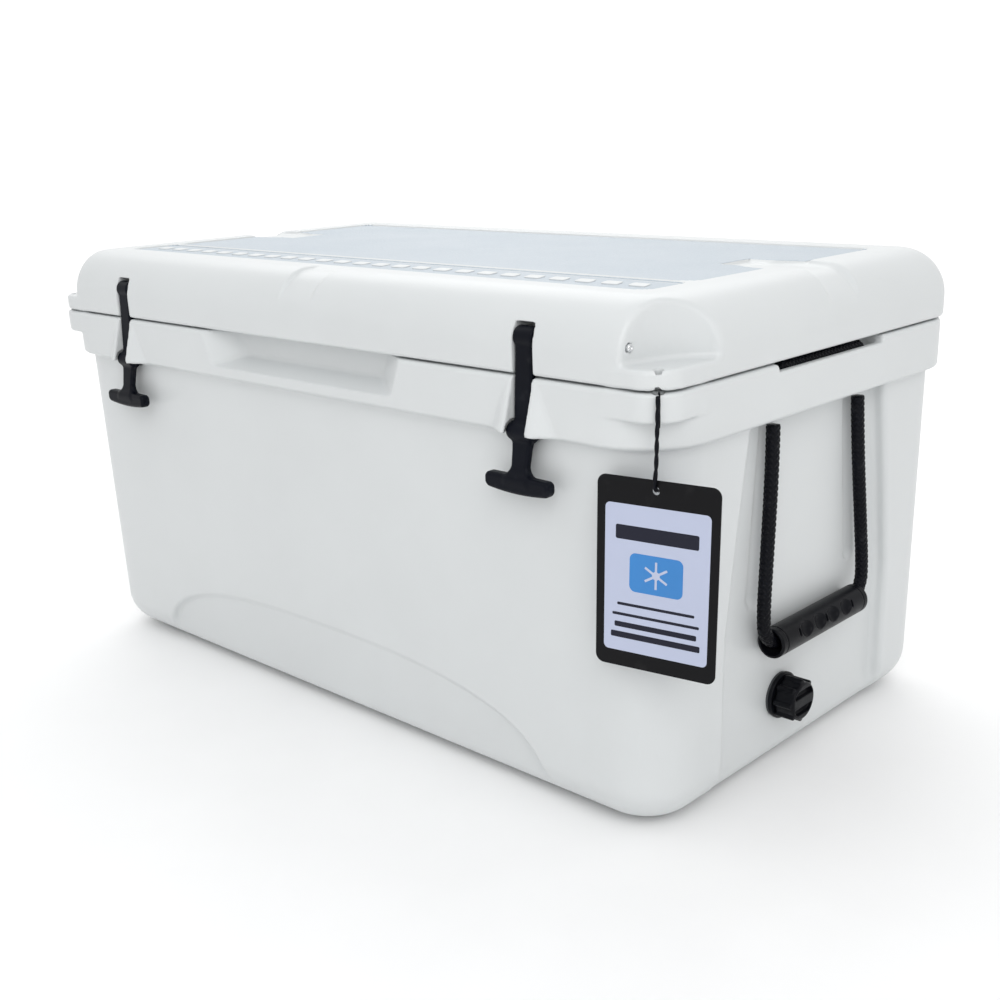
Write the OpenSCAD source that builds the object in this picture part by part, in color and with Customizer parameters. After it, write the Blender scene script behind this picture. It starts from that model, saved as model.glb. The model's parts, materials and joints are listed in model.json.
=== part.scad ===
// Rotomoulded cooler chest: a foam-filled tub and hinged lid, two rubber T-latches,
// rope handles with grips at both ends, a screw-cap drain and a swing tag on the lock lug.
// +X runs along the front, +Y to the back, +Z up. The origin is the centre of the floor plane.

/* [Chest] */
// Length of the rim, left to right
rim_len = 840; // [820:5:880]
// Depth of the rim, front to back
rim_dep = 471; // [460:1:500]
// Height of the tub's rim above the floor
rim_z = 372.4; // [366:0.2:384]
// Height of the lid's top above the floor
top_z = 436; // [430:1:446]
// Height of the rim band
rim_h = 45; // [42:1:48]
// How far the body stands back from the rim at its top
body_inset = 9; // [8:0.5:10]
// How much more it stands back at its foot
body_draft = 2; // [1:0.5:3]

/* [Walls] */
// Plastic thickness
skin = 4; // [4:0.5:5]
// Half length of the inside
inner_x = 364; // [350:1:366]
// Half depth of the inside
inner_y = 178; // [170:1:180]
// Height of the inside floor
inner_floor = 52; // [48:1:53]
// Gap between rim and lid
lid_gap = 1.6; // [1.4:0.1:2]

/* [Latches] */
// Distance of each latch from the middle
latch_x = 285; // [270:1:295]
// Width of the rubber strap
strap_w = 18; // [14:1:20]
// Width of the T-bar
tbar_w = 70; // [60:1:76]
// Radius of the latch pin
pin_r = 3; // [2.5:0.25:3.5]

/* [Handles] */
// Rope radius
rope_r = 6; // [5:0.5:6]
// Half length of the grip
grip_half = 72; // [66:1:72]
// Grip radius
grip_r = 13.5; // [12:0.5:13.5]

/* [Hinge] */
// Radius of the hinge knuckles
knuckle_r = 9; // [8:0.5:9]
// Radius of the hinge rod
rod_r = 4; // [3:0.5:4.5]
// Distance of each hinge from the middle
hinge_x = 245; // [220:5:260]

/* [Drain] */
// Height of the drain
drain_z = 67; // [66:0.5:70]
// Sideways place of the drain
drain_y = -33; // [-40:1:0]

/* [Hidden] */
$fn = 64;
eps = 0.01;
fit = 0.05;          // radial clearance of a pin in its bore
clear = 0.3;         // gap between neighbours that don't touch
over = 20;           // how far a cutter runs past what it cuts
white = "whitesmoke";
black = "#1c1e24";

hx = rim_len / 2;
hy = rim_dep / 2;
rim_bottom = rim_z - rim_h;
lid_z = rim_z + lid_gap;
foot_proud = 3;      // how far the rubber feet hold the tub off the floor

// corners, seen from above
rim_corner = 60;
lug_corner = 28;
body_corner = 54;
inner_corner = 34;
edge_round = 38;     // the tub's bottom edge
cavity_top = rim_z - 20;  // the rim is solid above this
lug_z = rim_z - 22;  // underside of the front lock lugs
ledge_z = lid_z + 15;
lock_x = hx - 13;
lock_y = -(hy - 12.5);
lock_r = 4;
lug_len = 110;

// lid
lid_inset = 1;
dome_r = 44;
dome_corner = 50;
scoop_r = 47;        // the hollow in the dome over each lock lug
scoop_x = hx + 8;
scoop_y = -(hy + 7.5);
plug_gap = 4;        // between the lid's plug and the inside wall
plug_drop = 12;
panel_x = hx - 62;
panel_front = -(hy - 122);
panel_back = hy - 66;
panel_deep = 1.2;
channel_deep = 3;
fill_at = [-200, 0, 200];  // the plugged foam filling holes
fill_r = 12;
gasket_w = 10;
gasket_up = 3;

// front finger recess in the rim
recess_top = 146;
recess_bottom = 132;
recess_z = rim_z - 33;
recess_deep = 21;

// arch pressed into the lower front
arch_half = 290;
arch_top = 94;
arch_power = 2.7;
arch_steps = 24;
arch_deep_top = 3;
arch_deep_bottom = 14;

// panel between the corner posts of each end
panel_wall = hx - 22;
panel_top_y = 105;
panel_mid_y = 121;
panel_mid_z = 232;
panel_low_y = 133;
panel_low_z = 150;

// channels that the hanging rope lies in: x, y and z of their upper and lower ends
groove_r = 9;
groove_top = [hx - 19, 65, rim_bottom - 4];
groove_foot = [hx - 19, 80, 165];

// latches
pin_y = -(hy - 12);
pin_z = lid_z + 28;
barrel_r = 8.5;
bulb_r = 7.5;
bulb_w = 28;
bulb_y = -(hy - 0.9);
bulb_z = rim_bottom + 3;
tbar_y = -(hy + 6);
tbar_z = rim_bottom - 38;
tbar_h = 15;
tbar_t = 11;
slot_w = strap_w + 3;
slot_deep = 24;
slot_top = pin_z + 11;
horn_w = 20;
horn_out = 12;
notch_w = 21;
notch_deep = 13;
pin_end = hx - 32;   // outer end of the pin, in the scoop
pin_start = latch_x - slot_w / 2 - 12;

// rope handles: the route's own points, y and z, from the middle of the grip up one side
rope_x = hx - 14.5;
rope_hole_y = 68;
pivot_z = rim_bottom - 7.4;
grip_x = panel_wall + grip_r + 0.8;
grip_z = 131;
rope_route = [
    [0, 131], [26, 131], [48, 131], [60, 131.2], [68.5, 132.8], [75.5, 137.5], [80.3, 144.5],
    [82, 153], [81.4, 172], [79, 195], [76.3, 220], [73.6, 245], [71.2, 270], [69.2, 296],
    [68, pivot_z]
];
rope_bore = rope_r + 0.6;
trough_z = rim_z - 14;
trough_half = 82;
lip_z = rim_z - 6;
bend_room = 14;      // room for the rope to turn from the trough into its hole
bridge_z = rim_z - rope_r - 1.4;

// hinge
hinge_y = hy + knuckle_r + 0.4;
hinge_z = rim_z + lid_gap / 2;
knuckle_w = 90;
ear_w = 24;
ear_gap = 0.5;
rod_half = knuckle_w / 2 + ear_gap + ear_w;

// drain
spout_r = 14;
spout_bore = 10;
flange_r = 21.5;
flange_t = 4;
gasket_t = 2;
nut_r = 18;
nut_t = 8;
well_r = nut_r + 1.5;  // hollow in the floor round the nut, so that the last water drains
well_len = 30;
flange_x = panel_wall + gasket_t;
cap_x = flange_x + flange_t + 0.6;
spout_end = cap_x + 9;
cap_r = 17.5;
cap_face = cap_x + 20;
cap_roof = spout_end + 2.2;
cap_ribs = 8;
cap_rib_r = 2.6;

// rubber feet
foot_r = 22;
foot_t = 7;
foot_at_x = hx - 95;
foot_at_y = hy - 85;

// swing tag on its string
tag_w = 100;
tag_h = 148;
tag_t = 0.9;
tag_round = 7;
tag_hole_r = 3;
tag_hole_drop = 8;
tag_yaw = 10;
tag_pitch = -2.5;
tag_hole = [412.7, -232.6, 303];
string_r = 1.1;
loop_r = 0.6;
string_route = [
    [412.8, -231.2, 372], [412.9, -231.5, 366], [412.9, -231.9, 356], [412.9, -232.5, 340],
    [412.9, -233.2, 322], [412.8, -234.3, 312], [412.7, -234.6, 307], [412.7, -232.6, 303.6],
    [412.7, -230.2, 302.8]
];

// the string's loop round the wall of the right lock hole, through the gap under the lid
loop_points = [
    [408.2, -224.2, 349.6], [408.2, -224.2, 360], [408.2, -224.2, 371], [409.4, -225.6, 373.2],
    [411.2, -227.6, 373.2], [412.4, -229, 371.6], [412.7, -229.3, 360], [412.6, -229.2, 350.2],
    [411, -227.4, 348.6]
];

// --- shapes shared by several pieces -------------------------------------------------------

// a rounded rectangle with true arcs, centred
module rounded(len, dep, r) {
    square([len - 2 * r, dep], center = true);
    square([len, dep - 2 * r], center = true);
    for (x = [-1, 1], y = [-1, 1])
        translate([x * (len / 2 - r), y * (dep / 2 - r)])
            circle(r);
}

module plate(len, dep, r, z0, z1) {
    translate([0, 0, z0])
        linear_extrude(z1 - z0)
            rounded(len, dep, r);
}

// a bar along X, given its middle and its ends
module bar_x(x0, x1, y, z, r) {
    translate([x0, y, z])
        rotate([0, 90, 0])
            cylinder(r = r, h = x1 - x0);
}

// an outline in Y and Z, pushed along X
module along_x(x0, x1) {
    translate([x0, 0, 0])
        rotate([90, 0, 90])
            linear_extrude(x1 - x0)
                children();
}

// an outline in X and Z, pushed along Y
module along_y(y0, y1) {
    translate([0, y1, 0])
        rotate([90, 0, 0])
            linear_extrude(y1 - y0)
                children();
}

function unit(v) = v / norm(v);
function ahead(route, i) =
    unit(route[min(i + 1, len(route) - 1)] - route[max(i - 1, 0)]);

// a round tube swept along a route of points in space
module tube(route, r, sides) {
    n = len(route);
    points = [
        for (i = [0 : n - 1])
            let (t = ahead(route, i), u = unit(cross(t, [1, 0.02, 0.01])), v = cross(t, u))
                for (k = [0 : sides - 1])
                    route[i] + r * (cos(360 * k / sides) * u + sin(360 * k / sides) * v)
    ];
    sides_faces = [
        for (i = [0 : n - 2], k = [0 : sides - 1])
            let (a = i * sides + k, b = i * sides + (k + 1) % sides)
                [a, b, b + sides, a + sides]
    ];
    start = [[for (k = [sides - 1 : -1 : 0]) k]];
    end = [[for (k = [0 : sides - 1]) (n - 1) * sides + k]];
    polyhedron(points, concat(sides_faces, start, end));
}

// --- tub -----------------------------------------------------------------------------------

module tub_body(inset) {
    top_x = hx - body_inset - inset;
    top_y = hy - body_inset - inset;
    low_x = top_x - body_draft;
    low_y = top_y - body_draft;
    corner = body_corner - inset;
    edge = edge_round - inset;
    hull()
        for (x = [-1, 1], y = [-1, 1]) {
            translate([x * (top_x - corner), y * (top_y - corner), rim_bottom])
                cylinder(r = corner, h = rim_h / 2, $fn = 32);
            translate([x * (low_x - corner), y * (low_y - corner), foot_proud + inset + edge])
                rotate_extrude($fn = 32)
                    translate([corner - edge, 0])
                        intersection() {
                            circle(edge, $fn = 32);
                            translate([0, -edge])
                                square(edge);
                        }
        }
}

// the arch's outline: a flattened curve from one foot to the other
module arch_outline(grow) {
    side = [
        for (i = [0 : arch_steps])
            let (x = (arch_half + grow) * cos(90 * i / arch_steps))
                [x, (arch_top + grow) * pow(1 - pow(x / (arch_half + grow), arch_power), 1 / arch_power)]
    ];
    back = [for (i = [arch_steps - 1 : -1 : 0]) [-side[i][0], side[i][1]]];
    polygon(concat([[arch_half + grow, -over]], side, back, [[-arch_half - grow, -over]]));
}

module arch_cut(grow) {
    wall = -(hy - body_inset);
    intersection() {
        along_y(wall - over, wall + 60)
            arch_outline(grow);
        along_x(-hx, hx)
            polygon([
                [wall - over, -over],
                [wall + arch_deep_bottom + grow + 1, -over],
                [wall + arch_deep_top + grow + 1, arch_top + grow + 1],
                [wall - over, arch_top + grow + 1]
            ]);
    }
}

module end_panel_outline() {
    half = [[panel_top_y, rim_bottom + eps], [panel_mid_y, panel_mid_z], [panel_low_y, panel_low_z],
            [panel_low_y, -over]];
    polygon(concat(half, [for (i = [3 : -1 : 0]) [-half[i][0], half[i][1]]]));
}

module end_panel_cut(side) {
    mirror([side < 0 ? 1 : 0, 0, 0]) {
        along_x(panel_wall, hx + over)
            end_panel_outline();
        rope_grooves(groove_r);
    }
}

module rope_grooves(r) {
    lean = atan2(groove_foot[1] - groove_top[1], groove_top[2] - groove_foot[2]);
    for (side = [-1, 1])
        translate([groove_foot[0], side * groove_foot[1], groove_foot[2]])
            rotate([side * lean, 0, 0])
                cylinder(r = r, h = norm(groove_top - groove_foot));
}

module finger_recess(grow) {
    along_y(-hy - over, -hy + recess_deep + grow)
        polygon([
            [-recess_top - grow, rim_z + over], [-recess_top - grow, rim_z],
            [-recess_bottom - grow, recess_z - grow], [recess_bottom + grow, recess_z - grow],
            [recess_top + grow, rim_z], [recess_top + grow, rim_z + over]
        ]);
}

// rope trough in the top of the rim, with its two holes down to the end panel
module rope_way(side) {
    mirror([side < 0 ? 1 : 0, 0, 0]) {
        translate([rope_x - rope_bore, -trough_half, trough_z])
            cube([2 * rope_bore, 2 * trough_half, over]);
        translate([rope_x, -trough_half - 1, lip_z])
            cube([over, 2 * trough_half + 2, over]);
        for (y = [-1, 1])
            translate([rope_x, y * rope_hole_y, rim_bottom - over])
                cylinder(r = rope_bore, h = rim_h + over);
        for (y = [-rope_hole_y, rope_hole_y - bend_room])
            translate([rope_x - rope_bore, y, trough_z - bend_room])
                cube([2 * rope_bore, bend_room, over]);
    }
}

// two horns beside the strap, leaning out towards their feet
module horns(side) {
    for (x = [side * latch_x - notch_w / 2 - horn_w, side * latch_x + notch_w / 2])
        along_x(x, x + horn_w)
            polygon([
                [-hy + 4, rim_z - 4], [-hy + 4, rim_bottom], [-hy - horn_out, rim_bottom],
                [-hy - horn_out, rim_bottom + 8], [-hy, rim_z - 3]
            ]);
}

module latch_notch(side) {
    translate([side * latch_x - notch_w / 2, -hy - over, rim_bottom - over])
        cube([notch_w, over + notch_deep, rim_h + 2 * over]);
    bar_x(side * latch_x - bulb_w / 2 - 1, side * latch_x + bulb_w / 2 + 1, bulb_y, bulb_z, bulb_r + 0.8);
}

// the lug that a padlock goes through
module rim_lug(side) {
    intersection() {
        plate(rim_len, rim_dep, lug_corner, lug_z, rim_z);
        translate([side > 0 ? hx - lug_len : -hx, -hy, lug_z])
            cube([lug_len, lug_len, rim_h]);
    }
}

module lock_hole(side) {
    translate([side * lock_x, lock_y, rim_bottom - over])
        cylinder(r = lock_r, h = rim_h + 2 * over);
}

module tub_ears(side) {
    for (x = [-rod_half, knuckle_w / 2 + ear_gap]) {
        bar_x(side * hinge_x + x, side * hinge_x + x + ear_w, hinge_y, hinge_z, knuckle_r);
        translate([side * hinge_x + x, hy - 2, hinge_z - knuckle_r])
            cube([ear_w, knuckle_r + 2.4, knuckle_r - lid_gap / 2]);
    }
}

module drain_well(grow) {
    bar_x(inner_x - well_len - grow, inner_x, drain_y, drain_z, well_r + grow);
}

module tub_cavity(gap) {
    half = panel_wall - skin - gap;
    difference() {
        intersection() {
            tub_body(skin + gap);
            translate([-half, -hy, 0])
                cube([2 * half, rim_dep, cavity_top - gap]);
        }
        plate(2 * (inner_x + skin + gap), 2 * (inner_y + skin + gap), inner_corner + skin,
              inner_floor - skin - gap, rim_z + over);
        arch_cut(skin + gap);
        finger_recess(skin + gap);
        drain_well(skin + gap);
        for (side = [-1, 1])
            for_side(side)
                rope_grooves(groove_r + skin + gap);
        for (x = [-1, 1], y = [-1, 1])
            translate([x * foot_at_x, y * foot_at_y, -eps])
                cylinder(r = foot_r + skin + gap, h = foot_t + skin + gap);
    }
}

// the whole moulding; it is one piece, drawn below as its outer skin, its liner and its rim,
// which meet face to face
module tub_moulding() {
    difference() {
        union() {
            difference() {
                tub_body(0);
                arch_cut(0);
                for (side = [-1, 1])
                    end_panel_cut(side);
            }
            plate(rim_len, rim_dep, rim_corner, rim_bottom, rim_z);
            for (side = [-1, 1]) {
                rim_lug(side);
                horns(side);
                tub_ears(side);
            }
        }
        plate(2 * inner_x, 2 * inner_y, inner_corner, inner_floor, rim_z + over);
        tub_cavity(0);
        finger_recess(0);
        drain_well(0);
        for (side = [-1, 1]) {
            rope_way(side);
            latch_notch(side);
            lock_hole(side);
            bar_x(side * hinge_x - rod_half - over, side * hinge_x + rod_half + over,
                  hinge_y, hinge_z, rod_r + fit);
        }
        bar_x(inner_x - over, hx + over, drain_y, drain_z, spout_r + fit);
        for (x = [-1, 1], y = [-1, 1])
            translate([x * foot_at_x, y * foot_at_y, -eps])
                cylinder(r = foot_r, h = foot_t + eps);
    }
}

module above_cavity() {
    translate([-hx - over, -hy - over, cavity_top])
        cube([rim_len + 2 * over, rim_dep + 2 * over, over + rim_z - cavity_top]);
}

module liner_block() {
    plate(2 * (inner_x + skin + clear), 2 * (inner_y + skin + clear), inner_corner + skin,
          inner_floor - skin - clear, cavity_top);
    drain_well(skin + clear);
}

module tub_outer() {
    color(white)
        difference() {
            tub_moulding();
            above_cavity();
            liner_block();
        }
}

module tub_liner() {
    color(white)
        intersection() {
            tub_moulding();
            liner_block();
        }
}

module tub_rim() {
    color(white)
        intersection() {
            tub_moulding();
            above_cavity();
        }
}

module tub_foam() {
    color("#f2e6b8")
        difference() {
            tub_cavity(clear);
            bar_x(inner_x - over, hx + over, drain_y, drain_z, spout_r + 1);
        }
}

module rubber_feet() {
    color(black)
        for (x = [-1, 1], y = [-1, 1])
            translate([x * foot_at_x, y * foot_at_y, 0])
                cylinder(r = foot_r, h = foot_t);
}

// --- lid -----------------------------------------------------------------------------------

module dome(inset, base_z) {
    len = rim_len - 2 * lid_inset - 2 * inset;
    dep = rim_dep - 2 * lid_inset - 2 * inset;
    hull()
        for (x = [-1, 1], y = [-1, 1])
            translate([x * (len / 2 - dome_corner), y * (dep / 2 - dome_corner), 0]) {
                translate([0, 0, base_z])
                    cylinder(r = dome_corner, h = 1, $fn = 32);
                translate([0, 0, top_z - inset - dome_r])
                    rotate_extrude($fn = 32)
                        translate([dome_corner - dome_r, 0])
                            intersection() {
                                circle(dome_r, $fn = 32);
                                square(dome_r);
                            }
            }
}

module lid_lug(side) {
    intersection() {
        plate(rim_len - 2 * lid_inset, rim_dep - 2 * lid_inset, lug_corner, lid_z, ledge_z);
        translate([side > 0 ? hx - lug_len : -hx, -hy, lid_z])
            cube([lug_len, lug_len, rim_h]);
    }
}

// tie-down channels: one over the front edge, one over each end
module tie_channels() {
    translate([-22, -hy - over, lid_z + 26])
        cube([46, over + 66, 100]);
    for (side = [-1, 1])
        translate([side > 0 ? hx - 66 : -hx - over, 28, lid_z + 26])
            cube([over + 66, 46, 100]);
}

module latch_slot(side, grow) {
    translate([side * latch_x - slot_w / 2 - grow, -hy - over, lid_z - over])
        cube([slot_w + 2 * grow, over + slot_deep + grow, slot_top - lid_z + over + grow]);
}

module pin_bore(side, r) {
    x0 = side > 0 ? pin_start : -pin_end - 1;
    bar_x(x0, x0 + pin_end + 1 - pin_start, pin_y, pin_z, r);
}

module lock_scoop(side, grow) {
    translate([side * scoop_x, scoop_y, ledge_z - grow])
        cylinder(r = scoop_r + grow, h = 100);
}

module lid_knuckle(side) {
    bar_x(side * hinge_x - knuckle_w / 2, side * hinge_x + knuckle_w / 2, hinge_y, hinge_z, knuckle_r);
    translate([side * hinge_x - knuckle_w / 2, hy - 6, lid_z])
        cube([knuckle_w, knuckle_r + 6.4, knuckle_r - lid_gap / 2]);
}

module lid_cavity(gap) {
    difference() {
        union() {
            dome(skin + channel_deep + gap, lid_z + skin + gap);
            plate(2 * (inner_x - plug_gap - skin - gap), 2 * (inner_y - plug_gap - skin - gap),
                  inner_corner - skin, lid_z - plug_drop + skin + gap, lid_z + 12);
        }
        for (side = [-1, 1]) {
            latch_slot(side, skin + gap);
            pin_bore(side, 8 + gap);
            lock_scoop(side, skin + gap);
        }
    }
}

module lid_shell() {
    color(white)
        difference() {
            union() {
                difference() {
                    dome(0, lid_z);
                    tie_channels();
                    for (side = [-1, 1])
                        lock_scoop(side, 0);
                }
                difference() {
                    dome(channel_deep, lid_z);
                    for (side = [-1, 1])
                        lock_scoop(side, 0);
                }
                plate(2 * (inner_x - plug_gap), 2 * (inner_y - plug_gap), inner_corner,
                      lid_z - plug_drop, lid_z + 1);
                for (side = [-1, 1]) {
                    lid_lug(side);
                    lid_knuckle(side);
                }
            }
            lid_cavity(0);
            translate([0, 0, lid_z - eps])
                gasket_ring(0);
            translate([-panel_x, panel_front, top_z - panel_deep])
                cube([2 * panel_x, panel_back - panel_front, over]);
            for (side = [-1, 1]) {
                latch_slot(side, 0);
                pin_bore(side, pin_r + fit);
                lock_hole(side);
                bar_x(side * hinge_x - rod_half, side * hinge_x + rod_half, hinge_y, hinge_z, rod_r + fit);
            }
            for (x = fill_at)
                translate([x, 0, lid_z - plug_drop - eps])
                    cylinder(r = fill_r, h = skin + 2 * eps);
        }
}

module lid_foam() {
    color("#f2e6b8")
        lid_cavity(clear);
}

module foam_plugs() {
    color(white)
        for (x = fill_at)
            translate([x, 0, lid_z - plug_drop])
                cylinder(r = fill_r, h = skin);
}

// the groove in the lid's underside, and the gasket's shape in plan
module gasket_ring(grow) {
    len = 2 * (inner_x + 5 + gasket_w);
    dep = 2 * (inner_y + 5 + gasket_w);
    linear_extrude(gasket_up + grow)
        difference() {
            rounded(len, dep, inner_corner + 15);
            rounded(len - 2 * gasket_w, dep - 2 * gasket_w, inner_corner + 5);
        }
}

module lid_gasket() {
    color("#3a3c40")
        translate([0, 0, rim_z + clear])
            gasket_ring(lid_gap - clear - eps);
}

// --- hinge and latch hardware --------------------------------------------------------------

module hinge_rod(side) {
    color("silver")
        bar_x(side * hinge_x - rod_half, side * hinge_x + rod_half, hinge_y, hinge_z, rod_r);
}

module hinge_rod_left() {
    hinge_rod(-1);
}

module hinge_rod_right() {
    hinge_rod(1);
}

module latch_pin(side) {
    x0 = side > 0 ? pin_start : -pin_end;
    color("silver")
        bar_x(x0, x0 + pin_end - pin_start, pin_y, pin_z, pin_r);
}

module latch_pin_left() {
    latch_pin(-1);
}

module latch_pin_right() {
    latch_pin(1);
}

module strap_side() {
    polygon([
        [pin_y - barrel_r, pin_z], [bulb_y - 1, bulb_z], [tbar_y - 4, tbar_z + 2],
        [tbar_y + 4, tbar_z + 2], [bulb_y + 5, bulb_z + 2], [pin_y - 1, pin_z - 6]
    ]);
}

module latch(side) {
    color(black)
        translate([side * latch_x, 0, 0])
            difference() {
                union() {
                    bar_x(-strap_w / 2, strap_w / 2, pin_y, pin_z, barrel_r);
                    along_x(-strap_w / 2, strap_w / 2)
                        strap_side();
                    bar_x(-bulb_w / 2, bulb_w / 2, bulb_y, bulb_z, bulb_r);
                    along_y(tbar_y - tbar_t / 2, tbar_y + tbar_t / 2)
                        translate([0, tbar_z])
                            rounded(tbar_w, tbar_h, 6);
                }
                bar_x(-strap_w, strap_w, pin_y, pin_z, pin_r + fit);
            }
}

module latch_left() {
    latch(-1);
}

module latch_right() {
    latch(1);
}

// --- rope handles --------------------------------------------------------------------------

function lean_x(z) = rope_x + (grip_x - rope_x) * (pivot_z - z) / (pivot_z - grip_z);
function loop_route() = concat(
    [for (i = [len(rope_route) - 1 : -1 : 1]) [lean_x(rope_route[i][1]), -rope_route[i][0], rope_route[i][1]]],
    [for (p = rope_route) [lean_x(p[1]), p[0], p[1]]]
);

// the rope's fixed run: up one hole, along the trough and down the other
function bridge_half() = [
    [rope_hole_y, rim_bottom - 1], [rope_hole_y, bridge_z - 14], [rope_hole_y - 1.5, bridge_z - 7],
    [rope_hole_y - 5, bridge_z - 2], [rope_hole_y - 11, bridge_z], [rope_hole_y - 34, bridge_z]
];
function bridge_route() = concat(
    [for (p = bridge_half()) [rope_x, -p[0], p[1]]],
    [for (i = [len(bridge_half()) - 1 : -1 : 0]) [rope_x, bridge_half()[i][0], bridge_half()[i][1]]]
);

module for_side(side) {
    mirror([side < 0 ? 1 : 0, 0, 0])
        children();
}

module rope(side) {
    color(black)
        for_side(side)
            tube(loop_route(), rope_r, 12);
}

module rope_bridge(side) {
    color(black)
        for_side(side)
            tube(bridge_route(), rope_r, 12);
}

module rope_left() {
    rope(-1);
}

module rope_right() {
    rope(1);
}

module rope_bridge_left() {
    rope_bridge(-1);
}

module rope_bridge_right() {
    rope_bridge(1);
}

module grip(side) {
    color(black)
        for_side(side)
            translate([grip_x, 0, grip_z])
                rotate([90, 0, 0])
                    difference() {
                        union() {
                            cylinder(r = grip_r - 1.5, h = 2 * grip_half, center = true);
                            for (k = [-1, 1])
                                translate([0, 0, k * (grip_half - 10)])
                                    cylinder(r = grip_r, h = 20, center = true);
                            for (k = [-1.5 : 1 : 1.5])
                                translate([0, 0, 26 * k])
                                    cylinder(r = grip_r, h = 16, center = true);
                        }
                        cylinder(r = rope_r + 0.5, h = 3 * grip_half, center = true);
                        for (k = [-1, 1])
                            translate([0, 0, k * (grip_half - 15)])
                                rotate([k > 0 ? 0 : 180, 0, 0])
                                    cylinder(r1 = rope_r + 0.5, r2 = 11, h = 15 + eps);
                    }
}

module grip_left() {
    grip(-1);
}

module grip_right() {
    grip(1);
}

// --- drain ---------------------------------------------------------------------------------

module drain_fitting() {
    color(black)
        difference() {
            union() {
                bar_x(inner_x - 12, spout_end, drain_y, drain_z, spout_r);
                bar_x(flange_x, flange_x + flange_t, drain_y, drain_z, flange_r);
            }
            bar_x(inner_x - 13, spout_end + 1, drain_y, drain_z, spout_bore);
        }
}

module drain_gasket() {
    color("#3a3c40")
        difference() {
            bar_x(panel_wall, flange_x, drain_y, drain_z, flange_r - 1);
            bar_x(panel_wall - 1, flange_x + 1, drain_y, drain_z, spout_r + fit);
        }
}

module drain_nut() {
    color(black)
        difference() {
            translate([inner_x - nut_t, drain_y, drain_z])
                rotate([0, 90, 0])
                    cylinder(r = nut_r, h = nut_t, $fn = 6);
            bar_x(inner_x - nut_t - 1, inner_x + 1, drain_y, drain_z, spout_r + fit);
        }
}

module drain_seal() {
    color("#3a3c40")
        difference() {
            bar_x(spout_end + 0.2, cap_roof, drain_y, drain_z, spout_r - 0.5);
            bar_x(spout_end - 1, cap_roof + 1, drain_y, drain_z, spout_bore + 0.5);
        }
}

module drain_cap() {
    color(black)
        difference() {
            union() {
                bar_x(cap_x, cap_face, drain_y, drain_z, cap_r);
                for (k = [0 : cap_ribs - 1])
                    translate([cap_x, drain_y, drain_z])
                        rotate([360 * k / cap_ribs, 0, 0])
                            translate([0, cap_r, 0])
                                rotate([0, 90, 0])
                                    cylinder(r = cap_rib_r, h = cap_face - cap_x - 2);
            }
            bar_x(cap_x - 1, cap_roof, drain_y, drain_z, spout_r + 0.2);
            translate([cap_face - 4, drain_y - 25, drain_z + 4.5])
                cube([5, 50, 7]);
            translate([cap_face - 4, drain_y - 25, drain_z - 11.5])
                cube([5, 50, 7]);
        }
}

// --- swing tag -----------------------------------------------------------------------------

module tag_loop() {
    color(black)
        tube(loop_points, loop_r, 8);
}

module tag_string() {
    color(black)
        tube(string_route, string_r, 8);
}

module hang_tag() {
    color("#202226")
        translate(tag_hole)
            rotate([tag_pitch, 0, tag_yaw])
                difference() {
                    along_y(-tag_t / 2, tag_t / 2)
                        translate([1.5, tag_hole_drop - tag_h / 2])
                            rounded(tag_w, tag_h, tag_round);
                    rotate([90, 0, 0])
                        cylinder(r = tag_hole_r, h = 4, center = true);
                }
}

tub_outer();
tub_liner();
tub_rim();
tub_foam();
lid_shell();
lid_foam();
lid_gasket();
foam_plugs();
rubber_feet();
hinge_rod_left();
hinge_rod_right();
latch_pin_left();
latch_pin_right();
latch_left();
latch_right();
rope_bridge_left();
rope_bridge_right();
rope_left();
rope_right();
grip_left();
grip_right();
drain_fitting();
drain_gasket();
drain_nut();
drain_seal();
drain_cap();
tag_loop();
tag_string();
hang_tag();
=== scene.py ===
import json
import math

import bpy
import numpy as np
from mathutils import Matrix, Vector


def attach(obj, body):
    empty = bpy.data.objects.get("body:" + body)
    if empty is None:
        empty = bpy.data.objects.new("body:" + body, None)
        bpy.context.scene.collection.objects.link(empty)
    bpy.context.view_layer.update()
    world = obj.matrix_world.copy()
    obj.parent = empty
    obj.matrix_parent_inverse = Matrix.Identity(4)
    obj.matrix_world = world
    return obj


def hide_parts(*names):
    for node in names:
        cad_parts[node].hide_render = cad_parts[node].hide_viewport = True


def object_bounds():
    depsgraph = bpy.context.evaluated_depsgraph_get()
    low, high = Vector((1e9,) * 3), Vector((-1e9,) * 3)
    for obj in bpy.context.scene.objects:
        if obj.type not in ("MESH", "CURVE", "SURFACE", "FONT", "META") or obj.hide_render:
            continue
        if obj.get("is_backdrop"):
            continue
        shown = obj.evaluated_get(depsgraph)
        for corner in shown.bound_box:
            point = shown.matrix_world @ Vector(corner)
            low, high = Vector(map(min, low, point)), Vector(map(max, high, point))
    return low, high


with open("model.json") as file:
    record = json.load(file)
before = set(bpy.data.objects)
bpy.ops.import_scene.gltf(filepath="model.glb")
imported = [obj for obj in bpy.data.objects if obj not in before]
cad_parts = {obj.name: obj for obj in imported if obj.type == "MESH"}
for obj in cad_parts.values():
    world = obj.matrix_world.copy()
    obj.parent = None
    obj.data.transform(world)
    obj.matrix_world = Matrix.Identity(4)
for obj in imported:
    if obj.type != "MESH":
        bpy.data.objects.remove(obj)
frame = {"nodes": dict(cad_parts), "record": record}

import openvdb
from mathutils import Matrix, Vector

box_low, box_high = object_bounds()
scene = bpy.context.scene
MM = 0.001

# --- camera ---------------------------------------------------------------------------------

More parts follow.
